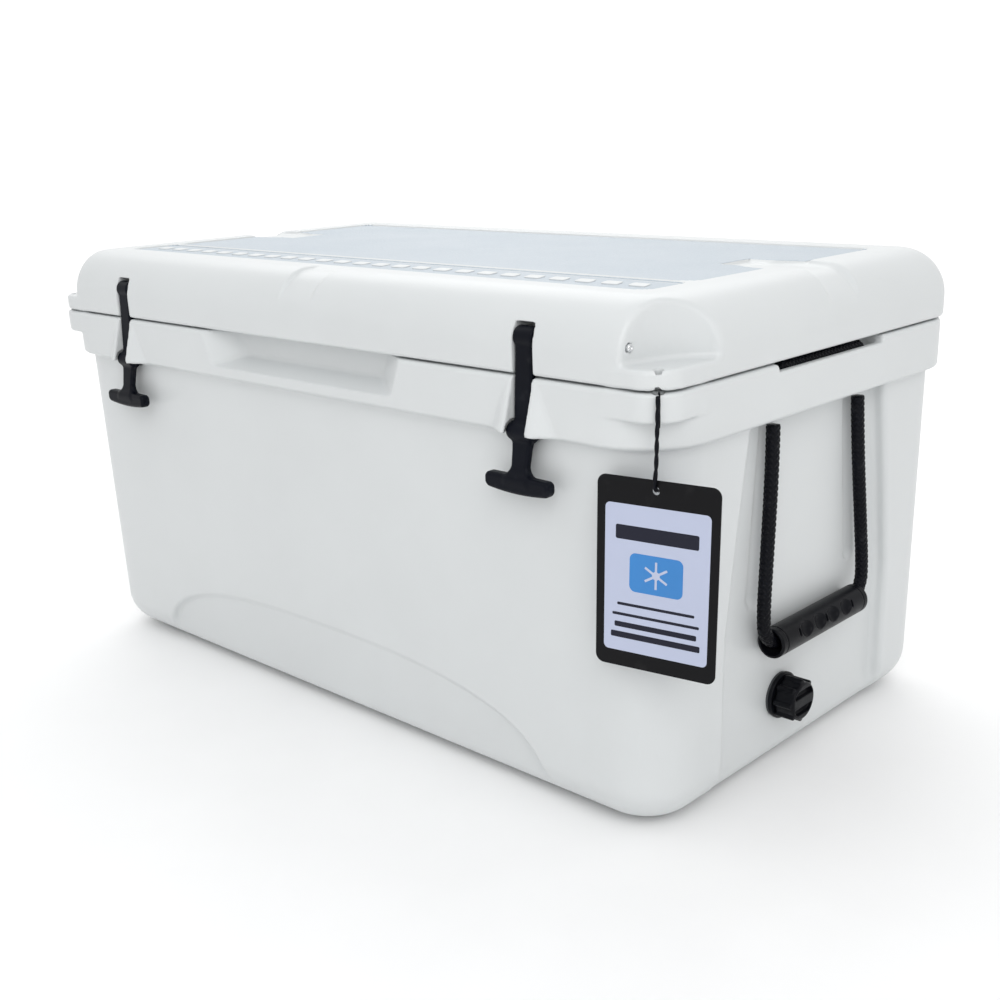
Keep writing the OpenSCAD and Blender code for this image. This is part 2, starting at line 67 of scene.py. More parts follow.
AZIMUTH, ELEVATION, ROLL = math.radians(43.07), math.radians(19.27), math.radians(-1.76)
CAMERA_AT = (0.9575, -0.9497, 0.5603)
LENS, SENSOR = 46.5, 36
SHIFT_X, SHIFT_Y = -0.0314, 0.0683
CLIP_NEAR, CLIP_FAR = 0.05, 30


def make_camera():
    """A camera from its place and its three angles."""
    ahead = Vector((-math.sin(AZIMUTH) * math.cos(ELEVATION), math.cos(AZIMUTH) * math.cos(ELEVATION),
                    -math.sin(ELEVATION)))
    level = Vector((math.cos(AZIMUTH), math.sin(AZIMUTH), 0))
    upright = level.cross(ahead)
    right = level * math.cos(ROLL) + upright * math.sin(ROLL)
    up = upright * math.cos(ROLL) - level * math.sin(ROLL)
    data = bpy.data.cameras.new("camera")
    data.lens, data.sensor_width = LENS, SENSOR
    data.shift_x, data.shift_y = SHIFT_X, SHIFT_Y
    data.clip_start, data.clip_end = CLIP_NEAR, CLIP_FAR
    camera = bpy.data.objects.new("camera", data)
    scene.collection.objects.link(camera)
    turn = Matrix((right, up, -ahead)).transposed().to_4x4()
    camera.matrix_world = Matrix.Translation(CAMERA_AT) @ turn
    scene.camera = camera


make_camera()

# --- meshes from points and faces -----------------------------------------------------------


def add_mesh(name, points, triangles, quads, normals=None):
    """A smooth mesh object from arrays of points in metres and of corner numbers."""
    mesh = bpy.data.meshes.new(name)
    corners = np.concatenate([np.asarray(triangles, np.int32).ravel(), np.asarray(quads, np.int32).ravel()])
    three, four = len(triangles), len(quads)
    starts = np.concatenate([np.arange(three) * 3, three * 3 + np.arange(four) * 4]).astype(np.int32)
    mesh.vertices.add(len(points))
    mesh.vertices.foreach_set("co", np.asarray(points, np.float32).ravel())
    mesh.loops.add(len(corners))
    mesh.loops.foreach_set("vertex_index", corners)
    mesh.polygons.add(three + four)
    mesh.polygons.foreach_set("loop_start", starts)
    mesh.update(calc_edges=True)
    mesh.shade_smooth()
    if normals is not None:
        mesh.normals_split_custom_set_from_vertices(normals)
    obj = bpy.data.objects.new(name, mesh)
    scene.collection.objects.link(obj)
    return obj


# --- cords ----------------------------------------------------------------------------------

# All routes are in millimetres, as in the CAD, until smooth_route turns them into metres.
ROPE_R = 6 * MM
ROPE_X, PIVOT_Z = 405.5, 320   # the mouths of the rope's holes in the rim
GRIP_X, GRIP_Z = 412.3, 131    # the grip's axis
# y and z of the loop from the middle of the grip up one side
ROPE_ROUTE = [
    (0, 131), (26, 131), (48, 131), (60, 131.2), (68.5, 132.8), (75.5, 137.5), (80.3, 144.5),
    (82, 153), (81.4, 172), (79, 195), (76.3, 220), (73.6, 245), (71.2, 270), (69.2, 296),
    (68, PIVOT_Z),
]
# y and z of the run fixed in the rim, from its hole to its middle
BRIDGE_ROUTE = [(68, 326.4), (68, 351), (66.5, 358), (63, 363), (57, 365), (34, 365)]
STRING_ROUTE = [
    (412.8, -231.2, 372), (412.9, -231.5, 366), (412.9, -231.9, 356), (412.9, -232.5, 340),
    (412.9, -233.2, 322), (412.8, -234.3, 312), (412.7, -234.6, 307), (412.7, -232.6, 303.6),
    (412.7, -230.2, 302.8),
]
LOOP_ROUTE = [
    (408.2, -224.2, 349.6), (408.2, -224.2, 360), (408.2, -224.2, 371), (409.4, -225.6, 373.2),
    (411.2, -227.6, 373.2), (412.4, -229, 371.6), (412.7, -229.3, 360), (412.6, -229.2, 350.2),
    (411, -227.4, 348.6),
]
STRANDS = 6             # strands each way round the rope
BRAID_PITCH = 0.030     # metres along the rope for one turn of a strand
BRAID_HEIGHT = 0.0017
STRAND_LIFT = 0.35      # how much higher the strand on top is drawn, as a share of a strand's height
TWIST_PITCH = 0.022     # metres along the string for one turn of its two strands
TWIST_SHARPNESS = 0.7   # below 1 the strands are rounder and the grooves between them sharper
# The string's strands stand proud of its core, so its drawn radius is larger than STRING_R.
STRING_DRAWN_R, STRING_GROOVE = 1.7 * MM, 0.0009
LOOP_DRAWN_R, LOOP_GROOVE = 0.75 * MM, 0.0002
ROPE_SIDES, STRING_SIDES, LOOP_SIDES = 48, 24, 16
STRING_SPACING = 0.0003
CURVE_STEPS = 24        # points worked out between two route points
OFF_ROUTE = (1, 0.02, 0.01)   # a direction that no route runs along


def smooth_route(points, spacing):
    """Points at even spacing along a smooth curve through the given points, in metres."""
    p = np.array(points, float) * MM
    p = np.vstack([2 * p[0] - p[1], p, 2 * p[-1] - p[-2]])
    t = np.linspace(0, 1, CURVE_STEPS, endpoint=False)[:, None]
    fine = []
    for a, b, c, d in zip(p[:-3], p[1:-2], p[2:-1], p[3:]):
        square = 2 * a - 5 * b + 4 * c - d
        cube = 3 * b - a - 3 * c + d
        fine.append(0.5 * (2 * b + (c - a) * t + square * t**2 + cube * t**3))
    fine = np.vstack(fine + [p[-2:-1]])
    run = np.concatenate([[0], np.cumsum(np.linalg.norm(np.diff(fine, axis=0), axis=1))])
    even = np.linspace(0, run[-1], max(2, int(run[-1] / spacing)))
    return np.stack([np.interp(even, run, fine[:, k]) for k in range(3)], axis=1)


def braid(angle, along):
    """Height of a braid's strands, 0 to 1, at an angle round the rope and a length along it."""
    turn = STRANDS * angle / (2 * math.pi)
    run = STRANDS * along / BRAID_PITCH
    a, b = turn + run, turn - run
    ridge_a, ridge_b = (1 - (2 * (v % 1) - 1) ** 2 for v in (a, b))
    a_on_top = (np.floor(a) + np.floor(b)) % 2 < 1
    over_b = np.maximum(ridge_a + STRAND_LIFT, ridge_b)
    over_a = np.maximum(ridge_b + STRAND_LIFT, ridge_a)
    return np.where(a_on_top, over_b, over_a) / (1 + STRAND_LIFT)


def twist(angle, along):
    """Height of a two-strand twisted string."""
    return np.abs(np.cos(angle - 2 * math.pi * along / TWIST_PITCH)) ** TWIST_SHARPNESS


def tube(name, route, radius, sides, spacing, surface, depth):
    """A tube along a route, lowered by up to depth between its strands, and the path it follows."""
    path = smooth_route(route, spacing)
    ahead = np.gradient(path, axis=0)
    ahead /= np.linalg.norm(ahead, axis=1)[:, None]
    across = np.cross(ahead, OFF_ROUTE)
    across /= np.linalg.norm(across, axis=1)[:, None]
    other = np.cross(ahead, across)
    along = np.concatenate([[0], np.cumsum(np.linalg.norm(np.diff(path, axis=0), axis=1))])[:, None]
    angle = np.linspace(0, 2 * math.pi, sides, endpoint=False)[None, :]
    r = radius - depth * (1 - surface(angle, along))
    ring = np.cos(angle)[..., None] * across[:, None] + np.sin(angle)[..., None] * other[:, None]
    points = (path[:, None] + r[..., None] * ring).reshape(-1, 3)
    points = np.vstack([points, path[:1], path[-1:]])
    i, k = np.meshgrid(np.arange(len(path) - 1), np.arange(sides), indexing="ij")
    a, b = i * sides + k, i * sides + (k + 1) % sides
    quads = np.stack([a, b, b + sides, a + sides], axis=-1).reshape(-1, 4)
    k = np.arange(sides)
    last = (len(path) - 1) * sides
    start = np.stack([(k + 1) % sides, k, np.full(sides, len(points) - 2)], axis=1)
    end = np.stack([last + k, last + (k + 1) % sides, np.full(sides, len(points) - 1)], axis=1)
    return add_mesh(name, points, np.vstack([start, end]), quads), path


def lean_x(z):
    """The hanging loop's x at a height: it leans out from the rim to the grip."""
    return ROPE_X + (GRIP_X - ROPE_X) * (PIVOT_Z - z) / (PIVOT_Z - GRIP_Z)


def loop_route(side):
    """A handle's free loop, from one hole down round the grip to the other."""
    up = [(side * lean_x(z), y, z) for y, z in ROPE_ROUTE]
    down = [(x, -y, z) for x, y, z in reversed(up[1:])]
    return down + up


def bridge_route(side):
    """The run of rope between a handle's two holes, fixed in the rim."""
    up = [(side * ROPE_X, -y, z) for y, z in BRIDGE_ROUTE]
    return up + [(x, -y, z) for x, y, z in reversed(up)]


def path_length(path):
    return float(np.linalg.norm(np.diff(path, axis=0), axis=1).sum())


SIDES = (("left", -1), ("right", 1))
ROPE_SPACING = 0.0006
cords = {}
for word, side in SIDES:
    cords[f"rope_{word}"] = tube(f"braided_rope_{word}", loop_route(side), ROPE_R, ROPE_SIDES,
                                 ROPE_SPACING, braid, BRAID_HEIGHT)
    cords[f"rope_bridge_{word}"] = tube(f"braided_bridge_{word}", bridge_route(side), ROPE_R, ROPE_SIDES,
                                        ROPE_SPACING, braid, BRAID_HEIGHT)
cords["tag_string"] = tube("twisted_tag_string", STRING_ROUTE, STRING_DRAWN_R, STRING_SIDES,
                           STRING_SPACING, twist, STRING_GROOVE)
cords["tag_loop"] = tube("twisted_tag_loop", LOOP_ROUTE, LOOP_DRAWN_R, LOOP_SIDES,
                         STRING_SPACING, twist, LOOP_GROOVE)

# --- solids as fields of distance, in millimetres, negative inside ----------------------------


def smooth_union(a, b, r):
    """a and b together, with a fillet of about r where they meet."""
    near = np.maximum(r - np.abs(a - b), 0)
    return np.minimum(a, b) - near * near / (4 * r)


def smooth_cut(a, b, r):
    """a without b, with a rounded edge of about r."""
    return -smooth_union(-a, b, r)


def both(a, b, r):
    """What a and b share, its edge rounded to radius r."""
    return (np.hypot(np.maximum(a + r, 0), np.maximum(b + r, 0))
            + np.minimum(np.maximum(a, b) + r, 0) - r)


def rounded(u, v, half_u, half_v, r):
    """A rounded rectangle in u and v."""
    qu = np.abs(u) - (half_u - r)
    qv = np.abs(v) - (half_v - r)
    return np.hypot(np.maximum(qu, 0), np.maximum(qv, 0)) + np.minimum(np.maximum(qu, qv), 0) - r


def ramp(v, v0, v1):
    """0 before v0, 1 after v1, smooth between."""
    t = np.clip((v - v0) / (v1 - v0), 0, 1)
    return t * t * (3 - 2 * t)


def capsule(x, y, z, a, b, ra, rb):
    """A rod from a to b, its radius going from ra to rb."""
    run = np.subtract(b, a)
    t = np.clip(((x - a[0]) * run[0] + (y - a[1]) * run[1] + (z - a[2]) * run[2]) / (run @ run), 0, 1)
    off_x = x - a[0] - t * run[0]
    off_y = y - a[1] - t * run[1]
    off_z = z - a[2] - t * run[2]
    return np.sqrt(off_x ** 2 + off_y ** 2 + off_z ** 2) - (ra + (rb - ra) * t)


def within(d, x, y, z, low, high, change):
    """d with change(d, x, y, z) made inside one box only."""
    if d.ndim == 3:
        spans = [slice(*np.searchsorted(v.ravel(), (a, b))) for v, a, b in zip((x, y, z), low, high)]
        if all(s.stop > s.start for s in spans):
            cut = tuple(spans)
            d[cut] = change(d[cut], x[spans[0]], y[:, spans[1]], z[:, :, spans[2]])
        return d
    near = np.ones(d.shape, bool)
    for v, a, b in zip((x, y, z), low, high):
        near &= (v >= a) & (v <= b)
    if near.any():
        d[near] = change(d[near], x[near], y[near], z[near])
    return d


def on_both_ends(d, x, y, z, near, far, low, high, change):
    """d with a change made in a box at each end, the box running from near to far along X."""
    for side in (-1, 1):
        x_low, x_high = sorted((side * near, side * far))
        d = within(d, x, y, z, (x_low, *low), (x_high, *high), change)
    return d


PULLS = 2            # times that each corner is pulled onto the surface
LEAST_STEEP = 0.2    # the least squared slope that a pull divides by
LONGEST_PULL = 0.4   # of a grid step


def mesh_of(name, field, low, high, step):
    """The surface of a field as a mesh, its corners on the surface and its normals from the field."""
    low, high = np.array(low, float), np.array(high, float)
    count = np.ceil((high - low) / step).astype(int) + 1
    axes = [(low[k] + step * np.arange(count[k])).astype(np.float32) for k in range(3)]
    d = field(axes[0][:, None, None], axes[1][None, :, None], axes[2][None, None, :])
    reach = 3 * step
    grid = openvdb.FloatGrid(reach)
    grid.copyFromArray(np.clip(d, -reach, reach).astype(np.float32), tolerance=0.0)
    points, triangles, quads = grid.convertToPolygons(isovalue=0.0, adaptivity=0.0)
    p = points.astype(np.float64) * step + low
    h = 0.25 * step
    for _ in range(PULLS):
        x, y, z = p.T
        slope = np.stack([
            field(x + h, y, z) - field(x - h, y, z),
            field(x, y + h, z) - field(x, y - h, z),
            field(x, y, z + h) - field(x, y, z - h),
        ], axis=1) / (2 * h)
        steep = np.maximum((slope**2).sum(1), LEAST_STEEP)
        move = -(field(x, y, z) / steep)[:, None] * slope
        p = p + np.clip(move, -LONGEST_PULL * step, LONGEST_PULL * step)
    normals = slope / np.maximum(np.linalg.norm(slope, axis=1), 1e-6)[:, None]
    return add_mesh(name, p * MM, triangles, quads, normals)


# --- the chest's sizes ------------------------------------------------------------------------

HX, HY = 420.0, 235.5                  # half the rim's length and width
RIM_Z, RIM_BOTTOM = 372.4, 327.4
LID_Z, TOP_Z = 374.0, 436.0
LID_HX, LID_HY = HX - 1, HY - 1
RIM_CORNER, LUG_CORNER, LID_CORNER, BODY_CORNER, INNER_CORNER = 60, 28, 50, 54, 34
RIM_EDGE = 4
BODY_INSET, BODY_TAPER = 9, 2.0        # the body stands in from the rim, and further in at its foot
BODY_BOTTOM, BOTTOM_ROUND = 3, 38
INNER_X, INNER_Y, INNER_FLOOR, FLOOR_ROUND = 364, 178, 52, 20
LATCH_X = 285
PIN_Y, PIN_Z, PIN_R, PIN_BORE_R = -223.5, 402, 3, 3.05
HINGE_X, HINGE_Y, HINGE_Z = 245, 244.9, 373.2
KNUCKLE_R, ROD_R, KNUCKLE_HALF = 9, 4.05, 45
HINGE_LOW, HINGE_HIGH = (-330, 222), (330, 262)    # x and y of a box round both hinges
DRAIN_Y, DRAIN_Z = -33, 67
LOCK_X, LOCK_Y, LOCK_R = 407, -223, 4
LUG_SINK = 3                           # how far a lug's plate sinks where it ends
PANEL_WALL = 398                       # x of the pressed panel in each end
PANEL_FLOOR = 434.6                    # floor of the lid's top panel and front band
PANEL_X, PANEL_Y, PANEL_HALF_Y = 358, 28, 141.5
BAND_Y, BAND_HALF_Y = -146, 28
FOOT_X, FOOT_Y, FOOT_R = 325, 150.5, 22.1
ARCH_HALF, ARCH_TOP, ARCH_POWER = 290.0, 94.0, 2.7
ARCH_WALL, ARCH_LEAN = -223.5, 11      # y of the pressed arch at its top, and how much deeper at the floor
RECESS_HALF_LOW, RECESS_HALF_HIGH = 132, 146
RECESS_FLOOR, RECESS_DEPTH, RECESS_SLOPE, RECESS_FLARE = 338.6, 22, 0.45, 1.7
HORN_OUT, HORN_HEIGHT, HORN_SLANT = 11.6, 40, 0.62
STRAP_GAP = 10.2                       # half the gap between two horns
BAR_Y, BAR_Z = -234.6, 329.9           # the latch's round bar, in its notch under the horns


def bar(x, y, z, x0, x1, at_y, at_z, r, edge=1.0):
    """A round bar along X with rounded ends."""
    return both(np.hypot(y - at_y, z - at_z) - r, np.abs(x - (x0 + x1) / 2) - (x1 - x0) / 2, edge)


def arch_distance(x, z):
    """Distance from the flattened arch's outline in the front's plane."""
    least = 1e-4
    power = ARCH_POWER
    u = np.maximum(np.abs(x) / ARCH_HALF, least)
    v = np.maximum(np.maximum(z, 0) / ARCH_TOP, least)
    n = (u**power + v**power) ** (1 / power)
    slope = np.hypot(u ** (power - 1) / ARCH_HALF, v ** (power - 1) / ARCH_TOP) * n ** (1 - power)
    return (n - 1) / slope


def lug_fade(x, y):
    """How far a lug's plate sinks below the surface away from the corner, so that it ends without a step."""
    return LUG_SINK * np.maximum(ramp(y, -185, -160), ramp(-np.abs(x), -370, -345))


def lock_hole(d, x, y, z):
    """The upright hole through a corner lug for a padlock's shackle."""
    return np.maximum(d, LOCK_R - np.hypot(np.abs(x) - LOCK_X, y - LOCK_Y))


def add_horns(d, x, y, z):
    """Horns that lean out beside each strap, and the notch between them."""
    for side in (-1, 1):
        at = side * LATCH_X

        def change(d, x, y, z):
            down = np.clip((RIM_Z - 2 - z) / HORN_HEIGHT, 0, 1.05)
            reach = HORN_OUT * down
            aside = np.abs(x - at) - STRAP_GAP
            crest = -(y + HY + reach)
            slant = (crest + HORN_SLANT * (aside - 5)) / 1.18
            horn = both(both(crest, slant, 2.5), -aside, 3)
            horn = both(both(horn, RIM_BOTTOM + 0.4 - z, 3.5), z - RIM_Z + 2, 3)
            d = smooth_union(d, both(horn, y + HY - 8, 2), 2)
            notch = both(both(aside, y + HY - 13, 3), RIM_BOTTOM - 4 - z, 4)
            d = smooth_cut(d, notch, 1.5)
            return smooth_cut(d, bar(x, y, z, at - 15, at + 15, BAR_Y, BAR_Z, 8.6), 1.5)

        d = within(d, x, y, z, (at - 50, -HY - 20, 300), (at + 50, -HY + 30, 380), change)
    return d


def pressed_arch(d, x, y, z):
    """The low arch pressed into the front, deepest at the floor."""
    wall = ARCH_WALL + (ARCH_TOP - np.clip(z, 0, ARCH_TOP)) / ARCH_TOP * ARCH_LEAN
    return smooth_cut(d, both(arch_distance(x, z), y - wall, 5), 4)


def pressed_end(d, x, y, z):
    """The panel pressed into each end, wider towards the floor."""
    half = np.interp(z, [150, 232, 327], [133, 121, 105]).astype(np.float32)
    panel = both(PANEL_WALL - np.abs(x), np.abs(y) - half, 6)
    return smooth_cut(d, panel, 7)


def rim_lug(d, x, y, z):
    middle, half = 361.4, 11
    plate = both(rounded(x, y, HX, HY, LUG_CORNER), np.abs(z - middle) - half, 3)
    return smooth_union(d, plate + lug_fade(x, y), 2.5)


def finger_recess(d, x, y, z):
    """The recess in the front of the rim for lifting the lid."""
    depth = y + HY
    half = np.interp(z, [339.4, 372.4], [RECESS_HALF_LOW, RECESS_HALF_HIGH]).astype(np.float32)
    ends = (np.abs(x) - half + RECESS_FLARE * depth) / 1.97
    floor = RECESS_FLOOR + depth * RECESS_SLOPE
    return smooth_cut(d, both(both(ends, depth - RECESS_DEPTH, 3), floor - z, 3), 1)


def rope_side(d, x, y, z):
    """What an end of the tub has for its rope: channels, a trough open to the end, and two bent holes."""
    rope_y, bore_r = 68, 6.6
    ax, ay = np.abs(x), np.abs(y)
    channel = capsule(ax, ay, z, (401, 65, 330), (401, 80, 172), 9, 9)
    d = smooth_cut(d, both(channel, z - 332, 0.5), 3)
    trough = both(rounded(ax - ROPE_X, y, bore_r, 82, 5), 358.4 - z, 3)
    d = smooth_cut(d, trough, 2)
    lip = both(both(ROPE_X - ax, ay - 83, 3), 366.4 - z, 3)
    d = smooth_cut(d, lip, 3)
    hole = both(np.hypot(ax - ROPE_X, ay - rope_y) - bore_r, 300 - z, 1)
    bend = both(both(np.abs(ax - ROPE_X) - bore_r, np.abs(ay - 61) - 7, 2), 344.4 - z, 2)
    return smooth_cut(d, np.minimum(hole, bend), 1.5)


def hinge_ears(d, x, y, z):
    """The tub's two ears at each hinge, either side of the lid's knuckle."""
    width = 24
    ax = np.abs(x)
    for x0 in (HINGE_X - 69.5, HINGE_X + 45.5):
        x1 = x0 + width
        ear = bar(ax, y, z, x0, x1, HINGE_Y, HINGE_Z, KNUCKLE_R)
        root = both(np.abs(ax - (x0 + x1) / 2) - width / 2, np.abs(z - 368.3) - 4.1, 1)
        root = both(root, np.abs(y - 239) - 6, 1)
        d = smooth_union(d, np.minimum(ear, root), 2)
    return smooth_cut(d, np.hypot(y - HINGE_Y, z - HINGE_Z) - ROD_R, 0.5)


def drain_well(d, x, y, z):
    """The drain's hole through the end, and the well round it inside."""
    well = bar(x, y, z, 334, INNER_X, DRAIN_Y, DRAIN_Z, 19.5, 4)
    hole = both(np.hypot(y - DRAIN_Y, z - DRAIN_Z) - 14.1, 350 - x, 1)
    return np.maximum(smooth_cut(d, well, 4), -hole)


def foot_pocket(d, x, y, z):
    at = np.hypot(np.abs(x) - FOOT_X, np.abs(y) - FOOT_Y)
    return np.maximum(d, -both(at - FOOT_R, z - 7, 0.5))


def tub(x, y, z):
    """The whole tub as one moulding."""
    foot = np.clip((RIM_BOTTOM - z) / (RIM_BOTTOM - BODY_BOTTOM), 0, 1) * BODY_TAPER
    body = rounded(x, y, HX - BODY_INSET - foot, HY - BODY_INSET - foot, BODY_CORNER)
    d = both(body, BODY_BOTTOM - z, BOTTOM_ROUND)
    d = within(d, x, y, z, (-330, -260, -20), (330, -195, 125), pressed_arch)
    d = on_both_ends(d, x, y, z, 380, 440, (-180, -20), (180, RIM_Z), pressed_end)
    rim_half = (RIM_Z - RIM_BOTTOM) / 2
    rim = both(rounded(x, y, HX, HY, RIM_CORNER), np.abs(z - (RIM_Z + RIM_BOTTOM) / 2) - rim_half, RIM_EDGE)
    d = np.maximum(d, z - (RIM_Z - 8))
    d = smooth_union(d, rim, 5)
    d = on_both_ends(d, x, y, z, 330, 440, (-250, 330), (-150, 390), rim_lug)
    d = add_horns(d, x, y, z)
    d = within(d, x, y, z, (-170, -260, 325), (170, -195, 390), finger_recess)
    d = on_both_ends(d, x, y, z, 375, 440, (-110, 140), (110, 400), rope_side)
    d = within(d, x, y, z, (*HINGE_LOW, 350), (*HINGE_HIGH, 390), hinge_ears)
    inside = both(rounded(x, y, INNER_X, INNER_Y, INNER_CORNER), INNER_FLOOR - z, FLOOR_ROUND)
    d = smooth_cut(d, inside, 4)
    d = within(d, x, y, z, (320, -70, 30), (440, 10, 110), drain_well)
    d = on_both_ends(d, x, y, z, 395, 420, (-236, 320), (-210, 380), lock_hole)
    return within(d, x, y, z, (-360, -190, -20), (360, 190, 20), foot_pocket)


def lock_scoop(d, x, y, z):
    """The hollow in a front corner of the lid that makes room for a padlock."""
    half_x, half_front, half_back, floor = 50, 50, 78, 389
    across, away = np.abs(x) - 430, y + 238
    round_wall = np.hypot(across / half_x, away / np.where(away < 0, half_front, half_back)) * half_x - half_x
    return smooth_cut(d, both(round_wall, floor - z, 5), 4)


def front_channel(d, x, y, z):
    """The shallow channel over the middle of the lid's front edge, fading at both its ends."""
    depth = 8 * ramp(z, 392, 424) * (1 - ramp(y, -190, -165)) - 5
    return smooth_cut(d, both(np.abs(x - 2.5) - 22.5, -(d + depth), 2.5), 3)


def end_channel(d, x, y, z):
    """The slanting channel down an end of the lid, and the bowl at its top."""
    bowl_x, bowl_y, bowl_r = 352, 26, 31
    ax = np.abs(x)
    side = np.abs(y - 30 + (436 - z) * 0.4) - 24
    region = both(side, -(d + 10 * ramp(z, 396, 426) - 6), 5)
    top = np.hypot((ax - bowl_x) / 1.3, y - bowl_y) - bowl_r
    bowl = both(top, 432.5 + (ax - bowl_x) * 0.02 - z, 3)
    return smooth_cut(smooth_cut(d, region, 4), bowl, 4)


def top_panel(d, x, y, z):
    """The lid's sunk top panel and front band, each with a groove just inside its edge."""
    edge = rounded(x, y - PANEL_Y, PANEL_X, PANEL_HALF_Y, 14)
    d = smooth_cut(d, both(edge, PANEL_FLOOR - z, 0.5), 0.6)
    band = rounded(x, y - BAND_Y, PANEL_X, BAND_HALF_Y, 12)
    d = smooth_cut(d, both(band, PANEL_FLOOR - z, 0.5), 0.6)
    groove_in, groove_half, groove_floor = 2.6, 1.6, 433.4
    groove = both(np.abs(np.minimum(edge, band) + groove_in) - groove_half, groove_floor - z, 0.5)
    return smooth_cut(d, groove, 0.6)


def lid_lug(d, x, y, z):
    middle, half = 381.5, 7.5
    plate = both(rounded(x, y, LID_HX, LID_HY, LUG_CORNER), np.abs(z - middle) - half, 3)
    return smooth_union(d, plate + lug_fade(x, y), 1.5)


def latch_slot(d, x, y, z):
    """The slot in the lid's front for a latch, and the bore of its pin."""
    half, depth, top = 10.5, 25, 413.6
    ax = np.abs(x)
    gap = both(both(np.abs(ax - LATCH_X) - half, y + HY - depth, 3), z - top, 2)
    d = smooth_cut(d, gap, 1.5)
    pin = both(np.hypot(y - PIN_Y, z - PIN_Z) - 3.2, 262 - ax, 0.5)
    return np.maximum(d, -pin)


def plug_holes(d, x, y, z):
    """The holes under the lid that foam was poured through."""
    for at in (-200, 0, 200):
        d = np.maximum(d, -both(np.hypot(x - at, y) - 12.1, z - 366, 0.3))
    return d


def hinge_knuckle(d, x, y, z):
    """The lid's knuckle at each hinge."""
    ax = np.abs(x)
    root = both(np.abs(ax - HINGE_X) - KNUCKLE_HALF, np.abs(z - 378.1) - 4.1, 1)
    root = both(root, np.abs(y - 237) - 7, 1)
    roll = bar(ax, y, z, HINGE_X - KNUCKLE_HALF, HINGE_X + KNUCKLE_HALF, HINGE_Y, HINGE_Z, KNUCKLE_R)
    d = smooth_union(d, np.minimum(root, roll), 2)
    return np.maximum(d, ROD_R - np.hypot(y - HINGE_Y, z - HINGE_Z))


def lid(x, y, z):
    """The whole lid as one moulding, with its plug that drops into the tub and its gasket's groove."""
    top_round, plug_bottom, plug_gap = 44, 362, 4
    d = both(both(rounded(x, y, LID_HX, LID_HY, LID_CORNER), z - TOP_Z, top_round), LID_Z - z, 3)
    d = on_both_ends(d, x, y, z, 350, 440, (-260, 370), (-140, 445), lock_scoop)
    d = on_both_ends(d, x, y, z, 300, 440, (-20, 385), (90, 445), end_channel)
    d = within(d, x, y, z, (-50, -250, 385), (60, -168, 445), front_channel)
    d = within(d, x, y, z, (-370, -180, 425), (370, 185, 445), top_panel)
    d = on_both_ends(d, x, y, z, 330, 440, (-250, 360), (-150, 400), lid_lug)
    d = on_both_ends(d, x, y, z, 255, 405, (-250, 360), (-195, 425), latch_slot)
    plug = both(rounded(x, y, INNER_X - plug_gap, INNER_Y - plug_gap, INNER_CORNER), plug_bottom - z, 4)
    d = smooth_union(d, np.maximum(plug, z - 380), 1)
    groove_out, groove_half, groove_top = 15, 5, 377
    outside = rounded(x, y, INNER_X + groove_out, INNER_Y + groove_out, INNER_CORNER + groove_out)
    groove = both(np.abs(outside + groove_half) - groove_half, z - groove_top, 0.6)
    d = np.maximum(d, -groove)
    d = within(d, x, y, z, (-230, -30, 350), (230, 30, 372), plug_holes)
    d = within(d, x, y, z, (*HINGE_LOW, 355), (*HINGE_HIGH, 395), hinge_knuckle)
    return on_both_ends(d, x, y, z, 395, 420, (-236, 365), (-210, 400), lock_hole)


STRAP_Z, STRAP_Y = [289, 316, 335, 385, 400], [-241, -236.2, -233, -229.6, -229]
STRAP_WIDTH_Z = [282, 292, 303, 315, 325, 338, 402]
STRAP_WIDTH = [14, 11.5, 8.4, 9, 10, 9, 9]
HANDLE_Z, HANDLE_Y, HANDLE_HALF, HANDLE_HEIGHT = 289.6, -241.2, 34, 6


def latch(x, y, z):
    """A rubber latch, with x from its own middle."""
    strap_y = np.interp(z, STRAP_Z, STRAP_Y).astype(np.float32)
    width = np.interp(z, STRAP_WIDTH_Z, STRAP_WIDTH).astype(np.float32)
    strap = both(both(np.abs(x) - width, np.abs(y - strap_y) - 3.4, 2.4), np.abs(z - 346) - 56, 2)
    d = smooth_union(strap, bar(x, y, z, -9.8, 9.8, PIN_Y - 2, PIN_Z, 8.5, 2), 1)
    d = smooth_union(d, bar(x, y, z, -14, 14, BAR_Y, 329.6, 7.5, 4), 3)
    bow = 1 - np.clip(x / HANDLE_HALF, -1, 1) ** 2
    height = HANDLE_HEIGHT + 1.4 * bow
    up = HANDLE_HEIGHT * (z - HANDLE_Z + 1.2 * bow) / height
    handle = both(rounded(x, up, HANDLE_HALF, HANDLE_HEIGHT, 4.6), np.abs(y - HANDLE_Y) - 5.2, 3)
    d = smooth_union(d, handle, 6)
    return np.maximum(d, PIN_BORE_R - np.hypot(y - PIN_Y, z - PIN_Z))


def latch_pin(x, y, z):
    """A latch pin, with x from the chest's middle on either side, its head flush with the scoop's wall."""
    inner_end, head_end, dimple_x = 262.5, 383, 383.6
    d = bar(np.abs(x), y, z, inner_end, head_end, PIN_Y, PIN_Z, PIN_R, 1.2)
    dimple = np.sqrt((np.abs(x) - dimple_x) ** 2 + (y - PIN_Y) ** 2 + (z - PIN_Z) ** 2) - 1.5
    return smooth_cut(d, dimple, 0.3)


